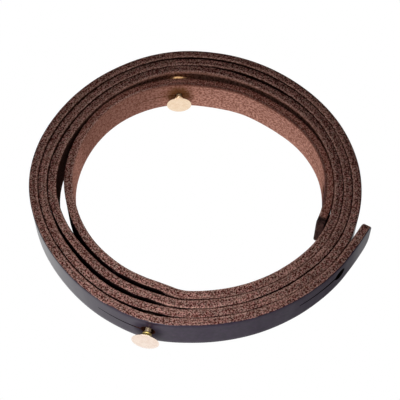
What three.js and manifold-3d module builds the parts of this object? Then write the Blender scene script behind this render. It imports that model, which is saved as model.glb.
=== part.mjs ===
// Hunting horn strap: one long leather strap wound into a flat coil of four turns,
// standing on its edge, with a double-headed brass stud through a keyhole near each end.
// Millimetres, +Z up, the strap's lower edge on z = 0.
import * as THREE from "three";
import { mergeVertices } from "three/addons/utils/BufferGeometryUtils.js";
import Module from "manifold-3d";

const wasm = await Module();
wasm.setup();

// ---- the leather ----
const WIDTH = 15;          // across the strap, upright in the coil
const THICK = 3.7;         // grain face to flesh face
const GRAIN_BEVEL = 0.4;   // small bevel of the outer, grain side's corners
const FLESH_BEVEL = 0.6;   // worn, rounder corners of the inner, flesh side
const TOUCH_GAP = 0.1;     // left between two turns that lie against each other
const STEP = 5;            // degrees of winding between two cross-sections

// ---- the coil ----
// Winding angle runs clockwise seen from above, from the outer tip to the inner tip.
const TIP_BEARING = -17.7; // bearing of the outer tip, degrees from +X
const WOUND = 1446.7;      // winding angle of the inner tip: four turns and a bit
const TIP_LIFT = 2.4;      // how far the outer tip springs off the turn under it
const LIFT_SPAN = 16;      // over this many degrees

// Outer face of the outermost turn where it lies at rest: its dents and swells.
const OUTER_TURN = [
  { at: 0, radius: 73.2 },
  { at: 12, radius: 72.8 },
  { at: 32, radius: 70.8 },
  { at: 55, radius: 69.5 },
  { at: 72, radius: 69.2 },
  { at: 87, radius: 69.8 },
  { at: 103, radius: 68.9 },
  { at: 125, radius: 68.0 },
  { at: 142, radius: 68.4 },
  { at: 162, radius: 69.2 },
  { at: 195, radius: 68.8 },
  { at: 222, radius: 69.3 },
  { at: 241, radius: 69.8 },
  { at: 267, radius: 68.7 },
  { at: 295, radius: 67.8 },
  { at: 320, radius: 68.4 },
  { at: 345, radius: 69.2 },
  { at: 360, radius: 69.4 },
];

// Where a turn hangs loose inside the one around it, and by how much at its peak.
const LOOSE = [
  { from: 435, peak: 447, to: 468, gap: 0.8 },
  { from: 515, peak: 560, to: 670, gap: 0.6 },
  { from: 582, peak: 617, to: 680, gap: 0.7 },
  { from: 740, peak: 788, to: 812, gap: 0.15 },
  { from: 795, peak: 810, to: 850, gap: 0.9 },
  { from: 800, peak: 840, to: 875, gap: 1 },
  { from: 862, peak: 915, to: 978, gap: 0.6 },
  { from: 967, peak: 997, to: 1037, gap: 1.3 },
  { from: 1110, peak: 1145, to: 1180, gap: 0.15 },
  { from: 1150, peak: 1171, to: 1276, gap: 1.2 },
  { from: 1199, peak: 1237, to: 1298, gap: 2.6 },
  { from: 1265, peak: 1330, to: 1362, gap: 2.8 },
  { from: 1294, peak: 1374, to: 1420, gap: 2.5 },
  { from: 1425, peak: 1445, to: 1465, gap: 0.4 },
];

// ---- keyholes ----
const HOLE_D = 5.5;        // round end of a keyhole
const SLIT_LONG = 21.5;    // from the hole's centre to the slit's end
const SLIT_WIDE = 0.7;
const SHELL_OVER = 0.04;   // cutters reach this far past both faces of one turn
// side: +1 has the slit leading along the winding, -1 against it
// rise: how far the keyhole lies above the strap's middle line
const KEYHOLES = [
  { at: 18.9, side: 1, rise: 1 },
  { at: 87.4, side: 1, rise: 0 },
  { at: 1324.2, side: -1, rise: 0 },
  { at: 1424, side: -1, rise: 0 },
];

// ---- ends ----
const OUTER_TIP_ROUND = 4.5;
const INNER_TIP_ROUND = 1.5;

// ---- studs ----
const STUD_AT_OUTER = 87.4;
const STUD_AT_INNER = 1324.2;
const OUTER_PLATE_D = 11;
const INNER_PLATE_D = 13.6;
const PLATE_THICK = 1.4;
const POST_D = 2.2;
const OUTER_FREE = 4.7;    // post between plate and cone
const INNER_FREE = 5.6;
const CONE_LONG = 3.4;     // the cone swells from the post toward the head
const CONE_TOP_D = 3.6;
const CONE_FOOT_D = 6.8;
const HEAD_D = 11;
const HEAD_THICK = 0.8;
const RIM = 0.3;           // rounding of the plate's and the head's rim
const SEAT_DEPTH = 0.8;    // how deep the outer stud's plate beds into the flesh side
const SEAT_PLAY = 0.15;    // room round a plate
const INNER_DROOP = 5;     // degrees that the inner stud's head hangs down
const OUTER_RISE = 1.3;    // the outer stud's post sits this far above the hole's middle
const OUTER_LIFT = 2;      // degrees that its post leans up
const OUTER_TURN_BACK = 5; // degrees that it leans back toward the tip

const radians = THREE.MathUtils.degToRad;

const restShape = new THREE.CubicInterpolant(
  OUTER_TURN.map((row) => row.at),
  OUTER_TURN.map((row) => row.radius),
  1,
);

// Share of a loose stretch's gap reached at one winding angle: a smooth swell.
function swell(row, angle) {
  const run = angle < row.peak ? row.peak - row.from : row.to - row.peak;
  const share = 1 - Math.abs(angle - row.peak) / run;
  return share > 0 ? (1 - Math.cos(Math.PI * share)) / 2 : 0;
}

// Radius of the grain face of a turn lying at rest, at a winding angle.
function restRadius(angle) {
  if (angle <= 360) {
    return restShape.evaluate(angle)[0];
  }
  const loose = LOOSE.reduce((sum, row) => sum + row.gap * swell(row, angle), 0);
  return restRadius(angle - 360) - THICK - TOUCH_GAP - loose;
}

// The same with the outer tip sprung off.
function grainRadius(angle) {
  const left = Math.max(0, 1 - angle / LIFT_SPAN);
  return restRadius(angle) + TIP_LIFT * left * left;
}

// Half the strap's width at a distance from a tip whose corners are rounded.
function halfWidth(distance, round) {
  const short = Math.max(0, round - distance);
  return WIDTH / 2 - round + Math.sqrt(round * round - short * short);
}

// Places a point given by offset from the grain face, height and winding angle.
function onCoil(offset, height, angle) {
  const bearing = radians(TIP_BEARING - angle);
  const radius = grainRadius(angle) + offset;
  return new THREE.Vector3(radius * Math.cos(bearing), radius * Math.sin(bearing), height);
}

// Bends a cross-section (x = offset from the grain face, y = height) along the coil.
function bend(section, angles, heightAt) {
  const steps = angles.length - 1;
  const geometry = new THREE.ExtrudeGeometry(section, { steps, depth: 1, bevelEnabled: false });
  const position = geometry.attributes.position;
  for (let i = 0; i < position.count; i++) {
    const angle = angles[Math.round(position.getZ(i) * steps)];
    const point = onCoil(position.getX(i), heightAt(position.getY(i), angle), angle);
    position.setXYZ(i, point.x, point.y, point.z);
  }
  return geometry;
}

// Cross-section of the strap: a flat rectangle with bevelled corners.
function strapSection() {
  const g = GRAIN_BEVEL;
  const f = FLESH_BEVEL;
  return new THREE.Shape([
    new THREE.Vector2(0, g),
    new THREE.Vector2(0, WIDTH - g),
    new THREE.Vector2(-g, WIDTH),
    new THREE.Vector2(-THICK + f, WIDTH),
    new THREE.Vector2(-THICK, WIDTH - f),
    new THREE.Vector2(-THICK, f),
    new THREE.Vector2(-THICK + f, 0),
    new THREE.Vector2(-g, 0),
  ]);
}

// Winding angles of all cross-sections, closer together where the tips are rounded.
function sectionAngles() {
  const shares = [0, 0.08, 0.3, 0.62, 1];
  const outerSpan = THREE.MathUtils.radToDeg(OUTER_TIP_ROUND / grainRadius(0));
  const innerSpan = THREE.MathUtils.radToDeg(INNER_TIP_ROUND / grainRadius(WOUND));
  const angles = shares.map((share) => share * outerSpan);
  for (let angle = STEP; angle < WOUND - innerSpan - 1; angle += STEP) {
    angles.push(angle);
  }
  const last = shares.map((share) => WOUND - share * innerSpan).reverse();
  return angles.concat(last);
}

function toSolid(geometry) {
  const bare = geometry.clone();
  bare.deleteAttribute("normal");
  bare.deleteAttribute("uv");
  const merged = mergeVertices(bare, 1e-4);
  return new wasm.Manifold(new wasm.Mesh({
    numProp: 3,
    vertProperties: new Float32Array(merged.attributes.position.array),
    triVerts: new Uint32Array(merged.index.array),
  }));
}

function toGeometry(solid) {
  const mesh = solid.getMesh();
  const geometry = new THREE.BufferGeometry();
  geometry.setAttribute("position", new THREE.BufferAttribute(mesh.vertProperties, 3));
  geometry.setIndex(new THREE.BufferAttribute(mesh.triVerts, 1));
  return geometry;
}

// Moves a shape built round +X onto the strap: its x = 0 goes to the grain face at
// mid-height, +X points straight out of that face, and offset shifts it along there.
// rise then lifts it.
function aim(geometry, angle, offset, rise = 0) {
  const along = onCoil(0, 0, angle + 1).sub(onCoil(0, 0, angle - 1)).normalize();
  const up = new THREE.Vector3(0, 0, 1);
  const out = new THREE.Vector3().crossVectors(up, along);
  const turn = new THREE.Matrix4().makeBasis(out, along.negate(), up);
  geometry.translate(offset, 0, rise);
  geometry.applyMatrix4(turn.setPosition(onCoil(0, WIDTH / 2, angle)));
  return geometry;
}

// A thin curved block just enclosing one turn, so that a cut leaves its neighbours alone.
function shell(from, to) {
  const out = SHELL_OVER;
  const section = new THREE.Shape([
    new THREE.Vector2(out, -1),
    new THREE.Vector2(out, WIDTH + 1),
    new THREE.Vector2(-THICK - out, WIDTH + 1),
    new THREE.Vector2(-THICK - out, -1),
  ]);
  const first = Math.floor(from / STEP) * STEP;
  const angles = [];
  for (let angle = first; angle < to + STEP; angle += STEP) {
    angles.push(angle);
  }
  return toSolid(bend(section, angles, (height) => height));
}

// One keyhole: a round hole through the strap and a slit leading from it.
function keyhole({ at, side, rise }) {
  const hole = new THREE.CylinderGeometry(HOLE_D / 2, HOLE_D / 2, 24, 24);
  hole.rotateZ(Math.PI / 2);
  const slit = new THREE.BoxGeometry(30, SLIT_LONG, SLIT_WIDE);
  slit.translate(0, -side * SLIT_LONG / 2, 0);
  const tool = toSolid(aim(hole, at, 0, rise)).add(toSolid(aim(slit, at, 0, rise)));
  const reach = THREE.MathUtils.radToDeg(SLIT_LONG / grainRadius(at)) + STEP;
  const from = side > 0 ? at - STEP : at - reach;
  const to = side > 0 ? at + reach : at + STEP;
  return tool.intersect(shell(from, to));
}

// Shallow seat pressed into the flesh side by the outer stud's plate.
function plateSeat() {
  const deep = SEAT_DEPTH + SEAT_PLAY;
  const radius = OUTER_PLATE_D / 2 + SEAT_PLAY;
  const disc = new THREE.CylinderGeometry(radius, radius, 4, 32);
  disc.rotateZ(Math.PI / 2);
  const tool = toSolid(aim(disc, STUD_AT_OUTER, deep - THICK - 2, OUTER_RISE));
  return tool.intersect(shell(STUD_AT_OUTER - 2 * STEP, STUD_AT_OUTER + 2 * STEP));
}

function strap() {
  const angles = sectionAngles();
  const outer = grainRadius(0);
  const inner = grainRadius(WOUND);
  const heightAt = (height, angle) => {
    const toOuter = halfWidth(radians(angle) * outer, OUTER_TIP_ROUND);
    const toInner = halfWidth(radians(WOUND - angle) * inner, INNER_TIP_ROUND);
    const half = Math.min(toOuter, toInner);
    return WIDTH / 2 + (height - WIDTH / 2) * half / (WIDTH / 2);
  };
  let solid = toSolid(bend(strapSection(), angles, heightAt));
  for (const row of KEYHOLES) {
    solid = solid.subtract(keyhole(row));
  }
  return toGeometry(solid.subtract(plateSeat()));
}

// Turned stud along +X: flat plate at x = 0, post, cone and head.
function stud(plateD, free) {
  const coneAt = PLATE_THICK + free;
  const headAt = coneAt + CONE_LONG;
  const faceAt = headAt + HEAD_THICK;
  const profile = [
    { radius: 0, along: 0 },
    { radius: plateD / 2 - RIM, along: 0 },
    { radius: plateD / 2, along: RIM },
    { radius: plateD / 2, along: PLATE_THICK - RIM },
    { radius: plateD / 2 - RIM, along: PLATE_THICK },
    { radius: POST_D / 2, along: PLATE_THICK },
    { radius: POST_D / 2, along: coneAt },
    { radius: CONE_TOP_D / 2, along: coneAt + 0.2 },
    { radius: CONE_FOOT_D / 2, along: headAt - 0.8 },
    { radius: CONE_FOOT_D / 2, along: headAt },
    { radius: HEAD_D / 2 - RIM, along: headAt },
    { radius: HEAD_D / 2, along: headAt + RIM },
    { radius: HEAD_D / 2 - 2 * RIM, along: faceAt },
    { radius: 0, along: faceAt },
  ];
  const points = profile.map((row) => new THREE.Vector2(row.radius, row.along));
  const geometry = new THREE.LatheGeometry(points, 36);
  geometry.rotateZ(-Math.PI / 2);
  return geometry;
}

// Leans a stud's post, cone and head about the middle of its plate's face.
function lean(geometry, lift, back) {
  const turn = new THREE.Euler(0, -radians(lift), radians(back), "ZYX");
  const pivot = new THREE.Vector3(PLATE_THICK, 0, 0);
  const points = geometry.attributes.position;
  const point = new THREE.Vector3();
  for (let i = 0; i < points.count; i += 1) {
    point.fromBufferAttribute(points, i);
    if (point.x > PLATE_THICK + 0.01) {
      point.sub(pivot).applyEuler(turn).add(pivot);
      points.setXYZ(i, point.x, point.y, point.z);
    }
  }
  return geometry;
}

// Outer stud: plate bedded in the flesh side, head outside the coil and leaning.
function outerStud() {
  const leaning = lean(stud(OUTER_PLATE_D, OUTER_FREE), OUTER_LIFT, OUTER_TURN_BACK);
  return aim(leaning, STUD_AT_OUTER, SEAT_DEPTH - THICK - PLATE_THICK, OUTER_RISE);
}

// Inner stud: turned round, plate on the grain face, head toward the coil's middle
// and hanging down a little, so the plate stands off the face at its lower edge.
function innerStud() {
  const droop = radians(INNER_DROOP);
  const standOff = SEAT_PLAY + INNER_PLATE_D / 2 * Math.sin(droop);
  const made = stud(INNER_PLATE_D, INNER_FREE);
  const turned = made.rotateZ(Math.PI).translate(PLATE_THICK, 0, 0).rotateY(-droop);
  return aim(turned, STUD_AT_INNER, standOff);
}

const leather = new THREE.MeshStandardMaterial({ color: 0x6e4c46, roughness: 0.8, metalness: 0 });
const brass = new THREE.MeshStandardMaterial({ color: 0xdcb88c, roughness: 0.25, metalness: 1 });

function piece(name, geometry, material) {
  const mesh = new THREE.Mesh(geometry, material);
  mesh.name = name;
  return mesh;
}

const group = new THREE.Group();
group.add(piece("strap", strap(), leather));
group.add(piece("outer_stud", outerStud(), brass));
group.add(piece("inner_stud", innerStud(), brass));

// Origin: middle of the whole object's footprint, on the lower edge.
const box = new THREE.Box3().setFromObject(group);
const middle = box.getCenter(new THREE.Vector3());
for (const mesh of group.children) {
  mesh.geometry.translate(-middle.x, -middle.y, -box.min.z);
}

export default group;
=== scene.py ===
# %% [markdown]
# # A hunting horn strap, coiled on its edge
# One long strip of heavy leather is wound four times round and stands on its lower edge.
# A brass stud sits in a keyhole near each end. We load the packed solids first, because
# they fix where everything is, and then dress them with detailed pieces.

# %% Load the solids
import math
import bmesh
import bpy
import numpy as np
from mathutils import Matrix, Vector, noise


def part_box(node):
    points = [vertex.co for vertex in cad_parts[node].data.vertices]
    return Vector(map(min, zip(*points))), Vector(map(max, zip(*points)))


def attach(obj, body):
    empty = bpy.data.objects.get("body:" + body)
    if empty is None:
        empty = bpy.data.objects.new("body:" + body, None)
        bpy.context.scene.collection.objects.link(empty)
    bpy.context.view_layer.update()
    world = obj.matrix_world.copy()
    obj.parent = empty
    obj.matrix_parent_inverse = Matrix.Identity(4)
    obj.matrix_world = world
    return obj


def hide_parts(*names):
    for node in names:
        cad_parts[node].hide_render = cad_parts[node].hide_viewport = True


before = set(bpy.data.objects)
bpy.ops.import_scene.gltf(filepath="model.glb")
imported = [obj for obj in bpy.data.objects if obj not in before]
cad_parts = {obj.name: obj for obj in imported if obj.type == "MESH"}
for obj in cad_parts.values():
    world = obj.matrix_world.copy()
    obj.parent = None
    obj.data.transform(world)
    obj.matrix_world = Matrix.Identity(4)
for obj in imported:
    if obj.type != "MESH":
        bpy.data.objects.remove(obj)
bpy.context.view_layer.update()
MM = 0.001
strap_low, strap_high = (Vector(corner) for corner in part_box("strap"))

# %% [markdown]
# ## The route of the coil
# The strap's outer face runs round the coil at a radius that changes slowly: it has flats
# and swells, and each turn lies against the one outside it except where it hangs loose.
# We could draw a spiral curve by hand, but then neighbouring turns would cut into each
# other. So only the outermost turn has a table of radii, and every later turn is worked
# out from the one around it: one thickness further in, plus the gap of a loose stretch.

# %% Measures of the leather and of the coil, in millimetres and degrees
WIDTH = 15.0
THICK = 3.7
TOUCH_GAP = 0.1
TIP_BEARING = -17.7
WOUND = 1446.7
TURNS = 4
TIP_LIFT = 2.4
LIFT_SPAN = 16.0

# winding angle, radius of the outermost turn's grain face at rest
OUTER_TURN = [
    (0, 73.2), (12, 72.8), (32, 70.8), (55, 69.5), (72, 69.2), (87, 69.8),
    (103, 68.9), (125, 68.0), (142, 68.4), (162, 69.2), (195, 68.8), (222, 69.3),
    (241, 69.8), (267, 68.7), (295, 67.8), (320, 68.4), (345, 69.2), (360, 69.4),
]

# loose stretches: winding angle where it starts, peaks and ends, and the gap at the peak
LOOSE = [
    (435, 447, 468, 0.8),
    (515, 560, 670, 0.6),
    (582, 617, 680, 0.7),
    (740, 788, 812, 0.15),
    (795, 810, 850, 0.9),
    (800, 840, 875, 1.0),
    (862, 915, 978, 0.6),
    (967, 997, 1037, 1.3),
    (1110, 1145, 1180, 0.15),
    (1150, 1171, 1276, 1.2),
    (1199, 1237, 1298, 2.6),
    (1265, 1330, 1362, 2.8),
    (1294, 1374, 1420, 2.5),
    (1425, 1445, 1465, 0.4),
]
print(TURNS, "turns and", round(WOUND - 360 * TURNS, 1), "degrees,", len(LOOSE), "loose stretches")

# %% [markdown]
# Between the rows of the first table the radius follows a smooth curve, and a loose
# stretch opens and closes like one wave of a cosine. The outer tip has nothing to hold
# it, so it springs off the turn below.

# %% Work out the radius
def swell(row, angle):
    """Gap of one loose stretch at an array of winding angles."""
    start, peak, end, gap = row
    run = np.where(angle < peak, peak - start, end - peak)
    share = np.clip(1 - np.abs(angle - peak) / run, 0, 1)
    return gap * (1 - np.cos(math.pi * share)) / 2


def first_turn(angle):
    """Smooth curve through the rows of OUTER_TURN."""
    at, radius = np.array(OUTER_TURN, float).T
    rise = np.diff(radius) / np.diff(at)
    slope = np.concatenate([[0], (rise[1:] + rise[:-1]) / 2, [0]])
    row = np.clip(np.searchsorted(at, angle, side="right") - 1, 0, len(at) - 2)
    step = at[row + 1] - at[row]
    t = (angle - at[row]) / step
    start = (2 * t**3 - 3 * t**2 + 1) * radius[row] + (t**3 - 2 * t**2 + t) * step * slope[row]
    end = (3 * t**2 - 2 * t**3) * radius[row + 1] + (t**3 - t**2) * step * slope[row + 1]
    return start + end


def grain_radius(angle):
    """Radius of the grain face at winding angles, counted from the outer tip."""
    radius = first_turn(angle % 360)
    for turn in range(1, TURNS + 1):
        inside = angle >= 360 * turn
        within = angle % 360 + 360 * turn
        loose = sum(swell(row, within) for row in LOOSE)
        radius = radius - np.where(inside, THICK + TOUCH_GAP + loose, 0)
    lift = np.clip(1 - angle / LIFT_SPAN, 0, None)
    return radius + TIP_LIFT * lift**2


quarters = [round(float(grain_radius(np.array([at]))[0]), 1) for at in (0, 360, 720, 1080, 1440)]
print("radius at the start of each turn in mm:", quarters)

# %% [markdown]
# The route is sampled finely once. At each sample we keep the point on the grain face,
# the direction straight out of that face and the length of leather used up so far, so
# that any spot of the flat strap can be looked up and put in its place on the coil.

# %% Sample the route
SAMPLE_STEP = 0.2
angles = np.arange(0, WOUND + SAMPLE_STEP, SAMPLE_STEP)
bearing = np.radians(TIP_BEARING - angles)
grain = grain_radius(angles)[:, None] * np.stack([np.cos(bearing), np.sin(bearing)], 1)
heading = np.gradient(grain, axis=0)
heading /= np.linalg.norm(heading, axis=1)[:, None]
outward = np.stack([-heading[:, 1], heading[:, 0]], 1)
middle = grain - outward * THICK / 2
used = np.concatenate([[0], np.cumsum(np.linalg.norm(np.diff(middle, axis=0), axis=1))])
LENGTH = used[-1]

# the route's own box against the solid's box gives the coil's centre in the frame
centre_x = (strap_low.x + strap_high.x) / 2 / MM - (grain[:, 0].max() + grain[:, 0].min()) / 2
centre_y = (strap_low.y + strap_high.y) / 2 / MM - (grain[:, 1].max() + grain[:, 1].min()) / 2
print(f"leather {LENGTH:.0f} mm long, coil centre at {centre_x:.2f}, {centre_y:.2f} mm")


def at_angle(winding):
    """Length of leather between the outer tip and a winding angle."""
    return float(np.interp(winding, angles, used))


def place(length, depth, height):
    """Where a spot of the flat strap ends up on the coil, in metres."""
    spot = []
    for axis in (0, 1):
        face = np.interp(length, used, grain[:, axis])
        out = np.interp(length, used, outward[:, axis])
        spot.append(face + out * depth)
    return np.stack([spot[0] + centre_x, spot[1] + centre_y, height], -1) * MM


# %% [markdown]
# ## Camera
# The camera stands in front of the coil and looks down on it steeply, with a long lens,
# so that all four turns show as rings and the strap's front shows as a dark band.

# %% Set up the camera
CAMERA_RISE = math.radians(56.5)
CAMERA_DISTANCE = 449.2
CAMERA_LENS = 94.5
SENSOR_WIDTH = 36
AIM_RIGHT = 2.04
AIM_FRONT = 1.80
AIM = Vector((centre_x + AIM_RIGHT, centre_y - AIM_FRONT, 0)) * MM
camera_data = bpy.data.cameras.new("camera")
camera_data.lens = CAMERA_LENS
camera_data.sensor_width = SENSOR_WIDTH
camera = bpy.data.objects.new("camera", camera_data)
back_off = Vector((0, -math.cos(CAMERA_RISE), math.sin(CAMERA_RISE)))
camera.location = AIM + back_off * CAMERA_DISTANCE * MM
camera.rotation_euler = (math.pi / 2 - CAMERA_RISE, 0, 0)
bpy.context.collection.objects.link(camera)
bpy.context.scene.camera = camera
print("camera", CAMERA_DISTANCE, "mm away, lens", CAMERA_LENS)

# %% [markdown]
# ## Cutting the flat strap
# A saddler cuts the strap flat, rounds its ends, takes off the sharp corners and punches
# the keyholes, and only then is it wound up. We do the same. Two tools are enough for the
# blank: one rounds edges off, and one slices the mesh with a plane.

# %% Make the tools for the blank
def bevel(bm, edges, offset, segments):
    """Rounds edges off."""
    bmesh.ops.bevel(bm, geom=edges, offset=offset, offset_type="OFFSET", segments=segments,
                    profile=0.5, affect="EDGES", material=-1, clamp_overlap=True)


def slice_at(bm, axis, value):
    """Cuts new edges where a plane square to one axis crosses the mesh."""
    point = Vector()
    point[axis] = value
    normal = Vector()
    normal[axis] = 1
    everything = bm.verts[:] + bm.edges[:] + bm.faces[:]
    bmesh.ops.bisect_plane(bm, geom=everything, plane_co=point, plane_no=normal)


print(bevel.__doc__, slice_at.__doc__)

# %% [markdown]
# The blank is a box as long as the leather. Its end corners and long corners are bevelled,
# and it is sliced finely along its length so that it can bend, with closer slices at the
# tips and a few rows across for the unevenness that comes later.

# %% Cut the blank
OUTER_TIP_ROUND = 4.5
INNER_TIP_ROUND = 1.5
GRAIN_CORNER = 0.35
FLESH_CORNER = 0.7
SLICE = 1.1
ROW_HEIGHTS = (2.3, 4.4, 6.4, 8.6, 10.6, 12.7)
LAYER_DEPTHS = (-0.9, -1.8)
TIP_CUTS = (0.5, 1.2, 2.2, 3.4, 5)


def cut_blank():
    """The flat strap: x along it, y from flesh (-THICK) to grain (0), z across it."""
    bm = bmesh.new()
    bmesh.ops.create_cube(bm, size=1)
    bmesh.ops.scale(bm, vec=(LENGTH, THICK, WIDTH), verts=bm.verts)
    bmesh.ops.translate(bm, vec=(LENGTH / 2, -THICK / 2, WIDTH / 2), verts=bm.verts)
    across = [e for e in bm.edges if abs(e.verts[0].co.y - e.verts[1].co.y) > 1]
    outer = [e for e in across if e.verts[0].co.x < 1]
    inner = [e for e in across if e.verts[0].co.x > 1]
    bevel(bm, outer, OUTER_TIP_ROUND, 8)
    bevel(bm, [e for e in inner if e.is_valid], INNER_TIP_ROUND, 4)
    for depth, corner, segments in ((0, GRAIN_CORNER, 3), (-THICK, FLESH_CORNER, 4)):
        rim = [e for e in bm.edges if all(abs(v.co.y - depth) < 1e-4 for v in e.verts)]
        bevel(bm, rim, corner, segments)
    for height in ROW_HEIGHTS:
        slice_at(bm, 2, height)
    for depth in LAYER_DEPTHS:
        slice_at(bm, 1, depth)
    for distance in TIP_CUTS:
        slice_at(bm, 0, distance)
        slice_at(bm, 0, LENGTH - distance)
    long_edges = [e for e in bm.edges if e.calc_length() > 100]
    cuts = round((LENGTH - 2 * TIP_CUTS[-1]) / SLICE)
    bmesh.ops.subdivide_edges(bm, edges=long_edges, cuts=cuts, use_grid_fill=True)
    return bm


blank = cut_blank()
print("blank:", len(blank.verts), "points,", len(blank.faces), "faces")

# %% [markdown]
# ## Keyholes
# A keyhole lets the stud's head through its round end and holds the post in its slit.
# Each end of the strap has two, and all slits lead away from the tip. They could be drawn
# into the mesh by hand, but a boolean cut with a rod and a thin blade is exactly what a
# punch does, and it keeps the cut walls clean. We list the keyholes first.

# %% List the keyholes
HOLE_D = 5.5
CLOSED_D = 3.1
SLIT_LONG = 21.5
OUTER_STUD_AT = 87.4
INNER_STUD_AT = 1324.2
# winding angle of the hole, direction of the slit, rise above the middle line, width of
# the slit at the hole and at its far end, and the hole's diameter; at the inner end the
# leather has closed up round the holes and along the slits
KEYHOLES = [
    (18.9, 1, 1, 1.5, 0.4, HOLE_D),
    (OUTER_STUD_AT, 1, 0, 0.9, 0.25, HOLE_D),
    (INNER_STUD_AT, -1, 0, 0.3, 0.1, CLOSED_D),
    (1424, -1, 0, 0.3, 0.1, CLOSED_D),
]
for winding, side, rise, gape, closed, hole_d in KEYHOLES:
    print(f"hole {hole_d} mm wide, {at_angle(winding):.0f} mm along, slit {gape} mm wide")

# %% [markdown]
# A rod makes each hole, and a blade that gets thinner each slit. The outer stud's plate
# lies in a shallow seat that it has worn in the flesh side, so a wide rod is made as well.
# A bend shortens the flesh side and bows a flat floor, so the seat is cut a little longer
# and deeper than the plate needs.

# %% Make the punches and the blades
OUTER_PLATE_D = 11.0
OUTER_RISE = 1.3
SEAT_DEPTH = 0.8
SEAT_PLAY = 0.15
SEAT_STRETCH = 1.08
SEAT_EXTRA = 0.6


def rod(bm, winding, rise, radius, low, high, stretch=1.0):
    """A rod through the flat strap, from one depth to another."""
    spot = Vector((at_angle(winding), (low + high) / 2, WIDTH / 2 + rise))
    longer = Matrix.Scale(stretch, 4, (1, 0, 0))
    turn = Matrix.Translation(spot) @ longer @ Matrix.Rotation(math.pi / 2, 4, "X")
    bmesh.ops.create_cone(bm, cap_ends=True, segments=48, radius1=radius, radius2=radius,
                          depth=high - low, matrix=turn)


def round_punches():
    """A rod for each keyhole's hole."""
    bm = bmesh.new()
    for winding, side, rise, gape, closed, hole_d in KEYHOLES:
        rod(bm, winding, rise, hole_d / 2, -THICK - 1, 1)
    return bm


def seat_punch():
    """A wide, shallow rod that beds the outer stud's plate in the flesh side."""
    bm = bmesh.new()
    floor = -THICK + SEAT_DEPTH + SEAT_EXTRA
    radius = OUTER_PLATE_D / 2 + SEAT_PLAY
    rod(bm, OUTER_STUD_AT, OUTER_RISE, radius, -THICK - 1.5, floor, SEAT_STRETCH)
    return bm


def slit_blades():
    """A blade for each slit, which gets thinner away from the hole."""
    bm = bmesh.new()
    for winding, side, rise, gape, closed, hole_d in KEYHOLES:
        start = at_angle(winding)
        size = Matrix.Diagonal((SLIT_LONG, THICK * 2, 1, 1))
        spot = Vector((start + side * SLIT_LONG / 2, -THICK / 2, 0))
        blade = bmesh.ops.create_cube(bm, size=1, matrix=Matrix.Translation(spot) @ size)
        for vert in blade["verts"]:
            at_hole = abs(vert.co.x - start) < 1
            vert.co.z *= gape if at_hole else closed
            vert.co.z += WIDTH / 2 + rise
    return bm


print("tools for", len(KEYHOLES), "keyholes")

# %% [markdown]
# Tools that overlap each other confuse a boolean cut, so the seat, the holes and the
# slits are cut one after the other.

# %% Punch the strap
def as_object(bm, name):
    """Makes an object of a bmesh and frees it."""
    mesh = bpy.data.meshes.new(name)
    bm.to_mesh(mesh)
    bm.free()
    obj = bpy.data.objects.new(name, mesh)
    bpy.context.collection.objects.link(obj)
    return obj


def cut_with(obj, tool):
    """Takes a tool's shape out of an object for good."""
    cut = obj.modifiers.new("cut", "BOOLEAN")
    cut.operation = "DIFFERENCE"
    cut.solver = "EXACT"
    cut.object = tool
    shaped = obj.evaluated_get(bpy.context.evaluated_depsgraph_get())
    result = bpy.data.meshes.new_from_object(shaped)
    obj.modifiers.clear()
    obj.data = result
    bpy.data.objects.remove(tool)


strap = as_object(blank, "strap_leather")
cut_with(strap, as_object(seat_punch(), "seat_punch"))
cut_with(strap, as_object(round_punches(), "punches"))
cut_with(strap, as_object(slit_blades(), "blades"))
print("punched strap:", len(strap.data.vertices), "points")

# %% [markdown]
# ## Winding it up
# Before the strap bends, every point keeps its place on the flat leather in an attribute.
# The materials read that attribute, so grain and fibres follow the strap round the coil
# instead of running through it. The edges of raw leather are never dead straight either:
# slow noise takes a little off them here and there, and fine noise roughens them.

# %% Roughen the edges
EDGE_WANDER = 0.12
EDGE_FUZZ = 0.07
EDGE_BAND = 0.6
WANDER_LONG = 21


def flat_points(mesh):
    """Points of the flat strap as an array, in millimetres."""
    flat = np.empty(len(mesh.vertices) * 3)
    mesh.vertices.foreach_get("co", flat)
    return flat.reshape(-1, 3)


def roughen(flat):
    """The flat strap with the small unevenness of cut leather."""
    worn = flat.copy()
    for i, (length, depth, height) in enumerate(flat):
        to_edge = min(height, WIDTH - height)
        raw = min(1, max(0, -depth - 0.2))
        if to_edge < EDGE_BAND:
            side = 1 if height > WIDTH / 2 else -1
            slow = noise.noise((length / WANDER_LONG, side * 3, 5)) * EDGE_WANDER
            fine = noise.noise((length / 0.9, depth / 0.6, side * 7)) * EDGE_FUZZ
            worn[i, 2] -= side * abs(slow + fine * raw)
        if depth < -THICK + EDGE_BAND:
            fine = noise.noise((length / 1.3, height / 0.8, 2)) * EDGE_FUZZ
            worn[i, 1] += abs(fine)
    return worn


flat = flat_points(strap.data)
worn = roughen(flat)
print("edges worn back by up to", round(float(abs(worn - flat).max()), 2), "mm")

# %% [markdown]
# Now every point goes to its place on the coil. The shading is smooth on the flats and
# the gentle bends and stays crisp at the corners, and the finished strap takes the place
# of its solid.

# %% Wind the strap
wound = place(worn[:, 0], worn[:, 1], worn[:, 2])
strap.data.vertices.foreach_set("co", wound.ravel())
keep = strap.data.attributes.new("flat", "FLOAT_VECTOR", "POINT")
keep.data.foreach_set("vector", flat.ravel())


def smooth_faces(obj, sharp_angle=38):
    """Smooth shading that stays crisp at real corners, with faces pointing out."""
    bm = bmesh.new()
    bm.from_mesh(obj.data)
    bmesh.ops.recalc_face_normals(bm, faces=bm.faces)
    for face in bm.faces:
        face.smooth = True
    for edge in bm.edges:
        edge.smooth = not edge.is_manifold or edge.calc_face_angle() < math.radians(sharp_angle)
    bm.to_mesh(obj.data)
    bm.free()


smooth_faces(strap)
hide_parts("strap")
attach(strap, "root")
print("strap wound:", len(strap.data.polygons), "faces")

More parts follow.
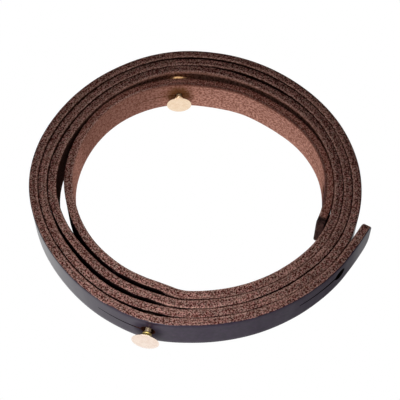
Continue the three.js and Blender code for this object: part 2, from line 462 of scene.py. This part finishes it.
# %% [markdown]
# ## Studs
# Each stud is turned from brass: a wide flat plate, a thin post, a cone that swells
# toward the head, and a slightly domed head. A lathe makes it, and so does the spin
# operator: half of the outline goes once round its axis. So we draw that half first.

# %% Draw half of a stud
PLATE_THICK = 1.4
POST_D = 2.2
INNER_PLATE_D = 13.6
OUTER_FREE = 4.7
INNER_FREE = 5.6
CONE_LONG = 3.4
CONE_TOP_D = 3.6
CONE_FOOT_D = 6.8
HEAD_D = 11.0
HEAD_THICK = 0.8
INNER_DROOP = math.radians(5)
OUTER_LIFT = math.radians(2)
OUTER_TURN_BACK = math.radians(5)
RIM_BEVEL = 0.12
HARD_EDGE = 0.6
SLACK = 0.01
HEAD, CONE, PLATE, POST = range(4)


def stud_outline(plate_d, free):
    """Half outline of a stud: distance along its axis from the plate's back, radius."""
    cone = PLATE_THICK + free
    head = cone + CONE_LONG
    face = head + HEAD_THICK
    return [
        (0, 0), (0, plate_d / 2), (PLATE_THICK, plate_d / 2), (PLATE_THICK, POST_D / 2),
        (cone, POST_D / 2), (cone, CONE_TOP_D / 2 - 0.2), (cone + 0.5, CONE_TOP_D / 2),
        (cone + 0.9, CONE_TOP_D / 2 - 0.1), (head - 1.3, CONE_FOOT_D / 2 - 0.5),
        (head - 1.1, CONE_FOOT_D / 2), (head - 0.6, CONE_FOOT_D / 2 + 0.1),
        (head, CONE_FOOT_D / 2 + 0.3), (head + 0.1, HEAD_D / 2 - 0.3),
        (head + 0.4, HEAD_D / 2), (face - 0.12, HEAD_D / 2 - 0.7), (face, HEAD_D / 2 - 2.4),
        (face, 0),
    ]


print("outline of", len(stud_outline(OUTER_PLATE_D, OUTER_FREE)), "points")

# %% [markdown]
# Then we spin it and bevel the hard rims so that they catch light. We also note for each
# face which layer of the stud it is on, because each layer gets a finish of its own.

# %% Spin a stud
def layer_at(reach, free):
    """Layer of the stud at a distance from the plate's back."""
    if reach < PLATE_THICK + SLACK:
        return PLATE
    if reach > PLATE_THICK + free + CONE_LONG - SLACK:
        return HEAD
    return CONE if reach > PLATE_THICK + free - SLACK else POST


def spin_stud(plate_d, free):
    """A stud along X, with the back of its plate at 0."""
    bm = bmesh.new()
    outline = stud_outline(plate_d, free)
    points = [bm.verts.new((reach, radius, 0)) for reach, radius in outline]
    for first, second in zip(points, points[1:]):
        bm.edges.new((first, second))
    bmesh.ops.spin(bm, geom=bm.verts[:] + bm.edges[:], cent=(0, 0, 0), axis=(1, 0, 0),
                   angle=math.tau, steps=72, use_merge=True)
    bmesh.ops.remove_doubles(bm, verts=bm.verts, dist=1e-4)
    bmesh.ops.recalc_face_normals(bm, faces=bm.faces)
    rims = [e for e in bm.edges if e.is_manifold and e.calc_face_angle() > HARD_EDGE]
    bevel(bm, rims, RIM_BEVEL, 3)
    for face in bm.faces:
        face.material_index = layer_at(face.calc_center_median().x, free)
    return bm


outer_turned = spin_stud(OUTER_PLATE_D, OUTER_FREE)
inner_turned = spin_stud(INNER_PLATE_D, INNER_FREE)
print("turned studs:", len(outer_turned.faces), "and", len(inner_turned.faces), "faces")

# %% [markdown]
# Each stud is moved to its keyhole. The outer one is pulled a little up and back, while
# its plate stays flat in its seat, so only what is beyond the plate leans. The inner one
# stands the other way round, with its head inside the coil, and hangs down as a whole.

# %% Set the studs in the strap
def stud_seat(winding, rise):
    """Matrix that stands +X straight out of the grain face, rise above its middle."""
    row = int(round(winding / SAMPLE_STEP))
    out = Vector((*outward[row], 0))
    up = Vector((0, 0, 1))
    side = up.cross(out)
    turn = Matrix((out, side, up)).transposed().to_4x4()
    spot = Vector(place(at_angle(winding), 0, WIDTH / 2 + rise))
    return Matrix.Translation(spot) @ turn @ Matrix.Scale(MM, 4)


def lean_back(bm):
    """Tips all of a stud but its plate up and back."""
    lean = Matrix.Rotation(OUTER_TURN_BACK, 4, "Z") @ Matrix.Rotation(-OUTER_LIFT, 4, "Y")
    beyond = [v for v in bm.verts if v.co.x > PLATE_THICK + SLACK]
    pivot = Matrix.Translation((-PLATE_THICK, 0, 0))
    bmesh.ops.transform(bm, matrix=lean, space=pivot, verts=beyond)


def face_inwards(bm):
    """Turns a stud's head to the inside of the coil and lets it droop."""
    about = Matrix.Translation((PLATE_THICK, 0, 0)) @ Matrix.Rotation(math.pi, 4, "Z")
    turn = Matrix.Rotation(-INNER_DROOP, 4, "Y") @ about
    bmesh.ops.transform(bm, matrix=turn, verts=bm.verts)


def set_stud(bm, name, winding, rise, offset):
    """Puts a turned stud in its keyhole, moved out from the grain face by an offset."""
    out = Matrix.Translation((offset, 0, 0))
    bmesh.ops.transform(bm, matrix=stud_seat(winding, rise) @ out, verts=bm.verts)
    stud = as_object(bm, name)
    smooth_faces(stud)
    return stud


bedded = SEAT_DEPTH - THICK - PLATE_THICK
stand_off = SEAT_PLAY + INNER_PLATE_D / 2 * math.sin(INNER_DROOP)
lean_back(outer_turned)
face_inwards(inner_turned)
outer_stud = set_stud(outer_turned, "outer_stud_brass", OUTER_STUD_AT, OUTER_RISE, bedded)
inner_stud = set_stud(inner_turned, "inner_stud_brass", INNER_STUD_AT, 0, stand_off)
for stud, node in ((outer_stud, "outer_stud"), (inner_stud, "inner_stud")):
    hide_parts(node)
    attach(stud, "root")
    print(node, "has", len(stud.data.polygons), "faces")

# %% [markdown]
# ## A small kit for finishes
# Shader graphs get long. The class below wraps one output of a node, so that a sum or a
# product of such values can be written as plain arithmetic and turns into Math nodes.

# %% Wrap the output of a node
class Value:
    """One output of a node. Arithmetic on it adds Math nodes."""

    def __init__(self, finish, socket):
        self.finish = finish
        self.socket = socket

    def math(self, operation, first, second=0.0, clamp=False):
        """One Math node."""
        settings = {"operation": operation, "use_clamp": clamp}
        return self.finish.node("ShaderNodeMath", settings, {0: first, 1: second})

    def __add__(self, other):
        return self.math("ADD", self, other)

    __radd__ = __add__

    def __mul__(self, other):
        return self.math("MULTIPLY", self, other)

    __rmul__ = __mul__

    def __sub__(self, other):
        return self.math("SUBTRACT", self, other)

    def __rsub__(self, other):
        return self.math("SUBTRACT", other, self)

    def __truediv__(self, other):
        return self.math("DIVIDE", self, other)

    def __pow__(self, other):
        return self.math("POWER", self, other)

    def __abs__(self):
        return self.math("ABSOLUTE", self)

    def clamped(self):
        return self.math("ADD", self, 0.0, clamp=True)

    def ramp(self, low, high):
        """0 below low, 1 above high, smooth between."""
        settings = {"interpolation_type": "SMOOTHSTEP"}
        inputs = {"Value": self, "From Min": low, "From Max": high}
        return self.finish.node("ShaderNodeMapRange", settings, inputs)

    def below(self, limit, soft):
        """1 below the limit, fading to 0 over a soft border."""
        return 1 - self.ramp(limit, limit + soft)


print(Value.__doc__)

# %% [markdown]
# A second class stands for a whole material. One of its methods adds any kind of node,
# sets it up and links its inputs, and the others mix colours and feed the shader.

# %% Wrap a material
class Finish:
    """A material under construction."""

    def __init__(self, name):
        self.material = bpy.data.materials.new(name)
        self.material.use_nodes = True
        self.tree = self.material.node_tree
        self.shader = self.tree.nodes["Principled BSDF"]

    def node(self, kind, settings=None, inputs=None, output=0):
        """Any node, with its settings and inputs, and one of its outputs."""
        node = self.tree.nodes.new(kind)
        for key, value in (settings or {}).items():
            setattr(node, key, value)
        for key, value in (inputs or {}).items():
            self.feed(node.inputs[key], value)
        return Value(self, node.outputs[output])

    def feed(self, socket, value):
        """Links a value to a socket, or sets the socket to a plain number or colour."""
        if isinstance(value, Value):
            self.tree.links.new(value.socket, socket)
        else:
            socket.default_value = value

    def mix(self, mask, first, second):
        """Colour between two others; 6, 7 and 2 are the Mix node's colour sockets."""
        inputs = {"Factor": mask, 6: first, 7: second}
        return self.node("ShaderNodeMix", {"data_type": "RGBA"}, inputs, 2)

    def set(self, **sockets):
        """Feeds the shader's sockets by name."""
        for key, value in sockets.items():
            self.feed(self.shader.inputs[key.replace("_", " ")], value)


def colour(red, green, blue):
    """Linear colour from the 0 to 255 values of a paint chart."""
    def linear(value):
        part = value / 255
        return part / 12.92 if part <= 0.04045 else ((part + 0.055) / 1.055) ** 2.4
    return (linear(red), linear(green), linear(blue), 1)


print("middle grey is", round(colour(128, 128, 128)[0], 3), "in linear light")

# %% [markdown]
# ## Leather
# The strap was dyed on its grain side only. That face is nearly black and takes a sheen,
# while the cut edges and the flesh side are raw, reddish brown and fibrous. One material
# does it all. It could be split over several materials by face, but then every border
# would be a hard line, so we read the flat strap's attribute and let masks fade instead.

# %% Look up the flat strap in the shader
leather = Finish("bridle_leather")
flat_at = leather.node("ShaderNodeAttribute", {"attribute_name": "flat"}, output="Vector")
along, depth, height = (leather.node("ShaderNodeSeparateXYZ", None, {0: flat_at}, axis)
                        for axis in "XYZ")
under = 0 - depth
from_end = LENGTH - along


def grit(size, detail=2.0, rough=0.6, stretch=(1, 1, 1), shift=(0, 0, 0)):
    """Noise with blotches of a size in millimetres."""
    at = leather.node("ShaderNodeVectorMath", {"operation": "MULTIPLY_ADD"},
                      {0: flat_at, 1: stretch, 2: shift})
    inputs = {"Vector": at, "Scale": 1 / size, "Detail": detail, "Roughness": rough}
    return leather.node("ShaderNodeTexNoise", None, inputs, "Fac")


print("the shader knows", round(LENGTH), "mm of leather")

# %% [markdown]
# The masks come next. Dye soaks a little way in from the grain face, and not evenly. It
# reaches less deep where a turn is covered, and least where turns press together.

# %% Find the dyed parts
DYE_FULL = 0.14
DYE_GONE = 0.4
uneven = grit(1.2) - 0.5
soak = grit(9.0, 1.0, 0.5, (1, 1, 0.3)) - 0.5


def between(start, end):
    """1 from one winding angle to another."""
    return along.ramp(at_angle(start - 8), at_angle(start + 8)) * along.below(at_angle(end), 12)


covered = along.ramp(at_angle(345), at_angle(375))
pressed = (between(362, 440) + between(770, 800) + between(1082, 1160)).clamped()
dyed_in = 0.12 * covered + 0.2 * pressed
grain = (depth + uneven * 0.3 + soak * 0.5 - dyed_in).ramp(-DYE_GONE, -DYE_FULL)
flesh = (under + uneven * 0.5).ramp(THICK - 0.25, THICK - 0.05)
corner = (under + uneven * 0.6).ramp(THICK - 1.15, THICK - 0.75)
last_turn = along.ramp(at_angle(1060), at_angle(1085))
print("dye fades between", DYE_FULL, "and", DYE_GONE, "mm under the grain face")

# %% [markdown]
# The walls of the keyholes are painted black as their shade, so we measure how far a point
# is from each punched hole and from the middle line of its slit, which tapers as the blade did.

# %% Find the keyholes
def from_hole(winding, rise):
    """Distance from the middle of a punched hole, measured on the flat strap."""
    return ((along - at_angle(winding)) ** 2.0 + (height - (WIDTH / 2 + rise)) ** 2.0) ** 0.5


def on_keyhole(winding, side, rise, gape, closed, hole_d):
    """1 on the walls and the lip of one keyhole."""
    hole = from_hole(winding, rise).below(hole_d / 2 + 0.02, 0.2)
    down = (along - at_angle(winding)) * side
    taper = down * ((gape - closed) / 2 / SLIT_LONG)
    off_line = abs(height - (WIDTH / 2 + rise)) + taper
    slit = off_line.below(gape / 2, 0.12) * abs(down - SLIT_LONG / 2).below(SLIT_LONG / 2, 0.2)
    return (hole + slit).clamped()


keyhole = sum(on_keyhole(*row) for row in KEYHOLES).clamped()
print("masks for", len(KEYHOLES), "keyholes")

# %% [markdown]
# Raw leather is a felt of fibres. Its cut edge is speckled with dark pits between pale
# and pinkish fibre ends, finer than a millimetre, and long streaks and ridges run along
# it where the knife has dragged. Each is a noise of its own size and stretch.

# %% Draw the fibres
speckle = grit(0.62, 2.0, 0.6).ramp(0.41, 0.6)
tint = grit(1.1, 1.0, 0.5, shift=(40, 7, 3)).ramp(0.42, 0.58)
cloud = grit(5.0, 2.0).ramp(0.3, 0.7)
streak = grit(0.9, 2.0, 0.5, (0.04, 1, 0.2), (9, 9, 9)).ramp(0.36, 0.64)
pits = grit(0.55, 1.0, 0.5, shift=(3, 50, 9)).ramp(0.56, 0.64)
ridge = grit(1.1, 1.0, 0.5, (0.06, 1, 0.2), (5, 2, 8)).ramp(0.54, 0.66)
fibre = grit(0.9, 3.0, 0.65, (0.8, 1, 1)).ramp(0.36, 0.64)
print("seven patterns of fibre")

# %% [markdown]
# The patterns mix tone over tone. The edge gets paler towards the flesh side, where the
# hide is looser, and one stretch of the inner turn is painted lighter, a painted highlight.

# %% Colour the raw edges and the flesh side
dark_fibre = leather.mix(tint, colour(88, 38, 32), colour(84, 44, 38))
pale_fibre = leather.mix(tint, colour(232, 174, 164), colour(222, 186, 172))
edge_tone = leather.mix(speckle, dark_fibre, pale_fibre)
edge_tone = leather.mix(pits * 0.8, edge_tone, colour(44, 20, 18))
edge_tone = leather.mix(cloud * 0.15, edge_tone, colour(134, 78, 68))
edge_tone = leather.mix((1 - streak) * 0.3, edge_tone, colour(70, 36, 32))
edge_tone = leather.mix(ridge * (0.15 + speckle * 0.45), edge_tone, colour(226, 176, 160))
pale_strip = leather.mix(speckle, colour(150, 98, 86), colour(244, 202, 188))
loose_hide = corner * (0.4 + cloud * 0.4)
raw_tone = leather.mix(loose_hide, edge_tone, pale_strip)
# painted light: the raw edges along this stretch of the inner turn are painted lighter
painted_light_stretch = along.ramp(at_angle(1230), at_angle(1300)) * (1 - corner)
painted_light_tone = leather.mix(speckle, colour(150, 84, 70), colour(236, 160, 140))
raw_tone = leather.mix(painted_light_stretch * 0.4, raw_tone, painted_light_tone)
flesh_tone = leather.mix(fibre, colour(136, 88, 74), colour(204, 152, 136))
raw_tone = leather.mix(flesh, raw_tone, flesh_tone)
print("raw leather mixed")

# %% [markdown]
# Then come painted shade and dark marks. Near the inner tip the flesh side is painted
# dark as shade, the tip itself is black, the leather round the inner stud's post is painted
# olive-brown as the head's shadow and the brass's reflection, and the inner turn's free
# corner is darker. The flesh side is also painted dark as shade along one stretch of the
# inner turn and nearly black on the outer turns, where it faces the gaps.

# %% Add the painted shade and the dark marks
inner_end_stretch = along.ramp(at_angle(1290), at_angle(1330)) * from_end.ramp(4, 12)
# darker along the inner turn's flesh-side corner at the top
dark_top_corner = corner * inner_end_stretch * height.ramp(WIDTH - 1.3, WIDTH - 0.7)
# painted shade: the flesh side along this stretch of the inner turn is painted darker
painted_shade_stretch = flesh * along.ramp(at_angle(1250), at_angle(1268)) * along.below(at_angle(1300), 35)
# painted shade: the flesh side of the outer turns, which faces the gaps, is painted nearly black
painted_gap_shade = flesh * (1 - last_turn) * along.below(at_angle(905), 30)
# painted shadow and reflection: the flesh side round the inner stud's post is painted olive-brown
# for the head's shadow and the brass's reflection
painted_post_shadow = flesh * from_hole(INNER_STUD_AT, 0).below(3.0, 5.0)
# painted shade: the flesh side near the inner tip is painted dark violet
painted_tip_shade = flesh * from_end.below(16, 12)
tip_black = from_end.below(2.4, 1.6)
marks_and_shade_tone = leather.mix(dark_top_corner * 0.7, raw_tone, colour(92, 48, 40))
marks_and_shade_tone = leather.mix(painted_shade_stretch * 0.55, marks_and_shade_tone, colour(96, 60, 50))
marks_and_shade_tone = leather.mix(painted_gap_shade * 0.9, marks_and_shade_tone, colour(40, 22, 20))
marks_and_shade_tone = leather.mix(painted_post_shadow * 0.8, marks_and_shade_tone, colour(92, 62, 26))
marks_and_shade_tone = leather.mix(painted_tip_shade * 0.85, marks_and_shade_tone, colour(62, 42, 50))
marks_and_shade_tone = leather.mix(tip_black * 0.9, marks_and_shade_tone, colour(30, 26, 28))
print("stains mixed")

# %% [markdown]
# The dyed side gets its colour last. Where a turn is covered its grain is painted warm
# black, the shade in the gaps between turns. The walls of the keyholes go on top, painted
# as their shade: black, but brown round the outer stud, and tan at the inner end as a
# painted reflection of the brass plate behind them.

# %% Colour the dyed side
dyed_tone = leather.mix(grit(2.0, 3.0).ramp(0.3, 0.7), colour(26, 12, 34), colour(40, 24, 48))
tone = leather.mix(grain, marks_and_shade_tone, dyed_tone)
# painted shade: the grain of the covered turns is painted warm black
tone = leather.mix(grain * covered, tone, colour(20, 11, 10))
# painted shade: the walls of the holes and slits are painted black, brown round the outer stud and
# tan at the inner end, where they stand for the brass plate behind
round_stud = from_hole(OUTER_STUD_AT, 0).below(3.0, 4.5)
lip = leather.mix(round_stud, colour(12, 9, 10), colour(74, 44, 36))
tone = leather.mix(keyhole, tone, leather.mix(last_turn, lip, colour(92, 58, 28)))
print("dyed side mixed")

# %% [markdown]
# The dyed side is so dark that nearly all we see of it is gloss: a clear coat whose
# strength is painted along the strap as painted sheen. It shines at the very tip, is dull
# just behind it and grows stronger along the strap. Creases make it uneven. The raw
# leather is rough, has no coat, and its nap comes from a fine bump.

# %% Finish the leather
# painted sheen: the coat's strength rises along the strap and at the outer tip
painted_sheen_along = ((along - 30) / 130).clamped()
painted_tip_sheen = along.below(at_angle(3), 18)
crease = grit(6.0, 3.0, 0.6, (1, 1, 0.35))
shown = along.below(at_angle(360), 20)
gloss = grain * (1 - keyhole) * (1 - round_stud * 0.7) * shown
gloss = gloss * (painted_sheen_along * 0.78 + painted_tip_sheen * 0.24 + crease * 0.2 + 0.06).clamped()

nap = grit(0.5, 4.0, 0.8)
relief = grain * grit(0.8, 2.0) * 0.12 + (1 - grain) * nap
bump = leather.node("ShaderNodeBump", None,
                    {"Height": relief, "Strength": 0.6, "Distance": 0.00025}, "Normal")
leather.set(Base_Color=tone, Roughness=0.92 - grain * 0.56, Coat_Weight=gloss, Normal=bump)
leather.set(Specular_IOR_Level=0.0, Coat_Roughness=0.28, Coat_IOR=1.5)
strap.data.materials.clear()
strap.data.materials.append(leather.material)
print("leather has", len(leather.tree.nodes), "nodes")

# %% [markdown]
# ## Brass
# The heads are polished pale brass. A little unevenness in the roughness keeps them from
# looking like plastic. The other layers are never wiped: the outer stud's cone has gone
# olive and the inner stud's plate is tan, while both posts and the inner cone are dull and
# cream. The outer stud's plate is painted nearly black, painted shade as dark as the gap it
# lies in. One function mixes all six finishes, and each stud is given four of them, in the
# order of its layers.

# %% Mix the brass
def brass_finish(name, dark, light, roughness, metallic=1.0):
    """Brass smeared between two tones, with its lowest roughness."""
    brass = Finish(name)
    spot = brass.node("ShaderNodeTexCoord", output="Object")
    inputs = {"Vector": spot, "Scale": 700.0, "Detail": 3.0}
    smear = brass.node("ShaderNodeTexNoise", None, inputs, "Fac")
    tone = brass.mix(smear.ramp(0.3, 0.7), dark, light)
    brass.set(Base_Color=tone, Roughness=smear * 0.14 + roughness)
    brass.set(Metallic=metallic)
    return brass.material


outer_head = brass_finish("outer_head_brass", colour(240, 218, 202), colour(246, 228, 214), 0.11)
inner_head = brass_finish("inner_head_brass", colour(238, 210, 180), colour(244, 220, 192), 0.11)
olive = brass_finish("olive_brass", colour(186, 164, 92), colour(240, 220, 156), 0.36, 0.8)
cream = brass_finish("cream_brass", colour(248, 220, 176), colour(252, 232, 200), 0.4, 0.8)
# painted shade: the outer stud's plate is painted nearly black
shaded_outer_plate = brass_finish("painted_shade_brass", colour(30, 20, 17), colour(44, 30, 24), 0.4)
inner_plate = brass_finish("tan_brass", colour(96, 72, 48), colour(146, 114, 80), 0.34)
finishes = [
    (outer_stud, {HEAD: outer_head, CONE: olive, PLATE: shaded_outer_plate, POST: cream}),
    (inner_stud, {HEAD: inner_head, CONE: cream, PLATE: inner_plate, POST: cream}),
]
for stud, layers in finishes:
    for layer in (HEAD, CONE, PLATE, POST):
        stud.data.materials.append(layers[layer])
    print(stud.name, "wears", [material.name for material in stud.data.materials])

# %% [markdown]
# ## Floor and light
# The strap stands on a plain white table that glows, as a light table does, so it takes
# no shadow and lights the leather's walls from below.

# %% Lay the floor
FLOOR_HALF = 3


def lay_floor():
    """A white sheet that gives its own light, under the coil."""
    bm = bmesh.new()
    bmesh.ops.create_grid(bm, x_segments=1, y_segments=1, size=FLOOR_HALF)
    floor = as_object(bm, "floor")
    white = Finish("white_table")
    white.set(Base_Color=(0, 0, 0, 1), Roughness=0.9, Specular_IOR_Level=0.0)
    white.set(Emission_Color=(1, 1, 1, 1), Emission_Strength=1.0)
    floor.data.materials.append(white.material)
    return floor


floor = lay_floor()
print("floor", 2 * FLOOR_HALF, "m wide")

# %% [markdown]
# One low soft light stands close to the left front, and the rest of the room gives only
# a little warm light. Brass shows what it mirrors, so a large panel hangs overhead. It
# is left out of diffuse light: it brightens the posts, cones and rims, and the leather
# stays as dark as the low light leaves it.

# %% Hang the lights
KEY_SPOT = Vector((-0.04, -0.15, 0.08))
KEY_SIZE = 0.06
KEY_POWER = 0.136
PANEL_SPOT = Vector((0, 0.1, 0.7))
PANEL_SIZE = 1.0
PANEL_POWER = 14.0
ROOM = 0.11
ROOM_TINT = (1.0, 0.84, 0.78, 1)


def soft_light(name, spot, size, power):
    """A square soft light aimed at the coil."""
    data = bpy.data.lights.new(name, "AREA")
    data.shape = "SQUARE"
    data.size = size
    data.energy = power
    light = bpy.data.objects.new(name, data)
    light.location = spot
    light.rotation_euler = (AIM - spot).to_track_quat("-Z", "Y").to_euler()
    light.visible_camera = False
    bpy.context.collection.objects.link(light)
    return light


key = soft_light("key", KEY_SPOT, KEY_SIZE, KEY_POWER)
panel = soft_light("panel", PANEL_SPOT, PANEL_SIZE, PANEL_POWER)
panel.visible_diffuse = False
world = bpy.data.worlds.new("world")
world.use_nodes = True
background = world.node_tree.nodes["Background"].inputs
background["Color"].default_value = ROOM_TINT
background["Strength"].default_value = ROOM
bpy.context.scene.world = world
bpy.context.scene.view_settings.view_transform = "Standard"
print("key light at", tuple(round(v, 2) for v in key.location))

# %% [markdown]
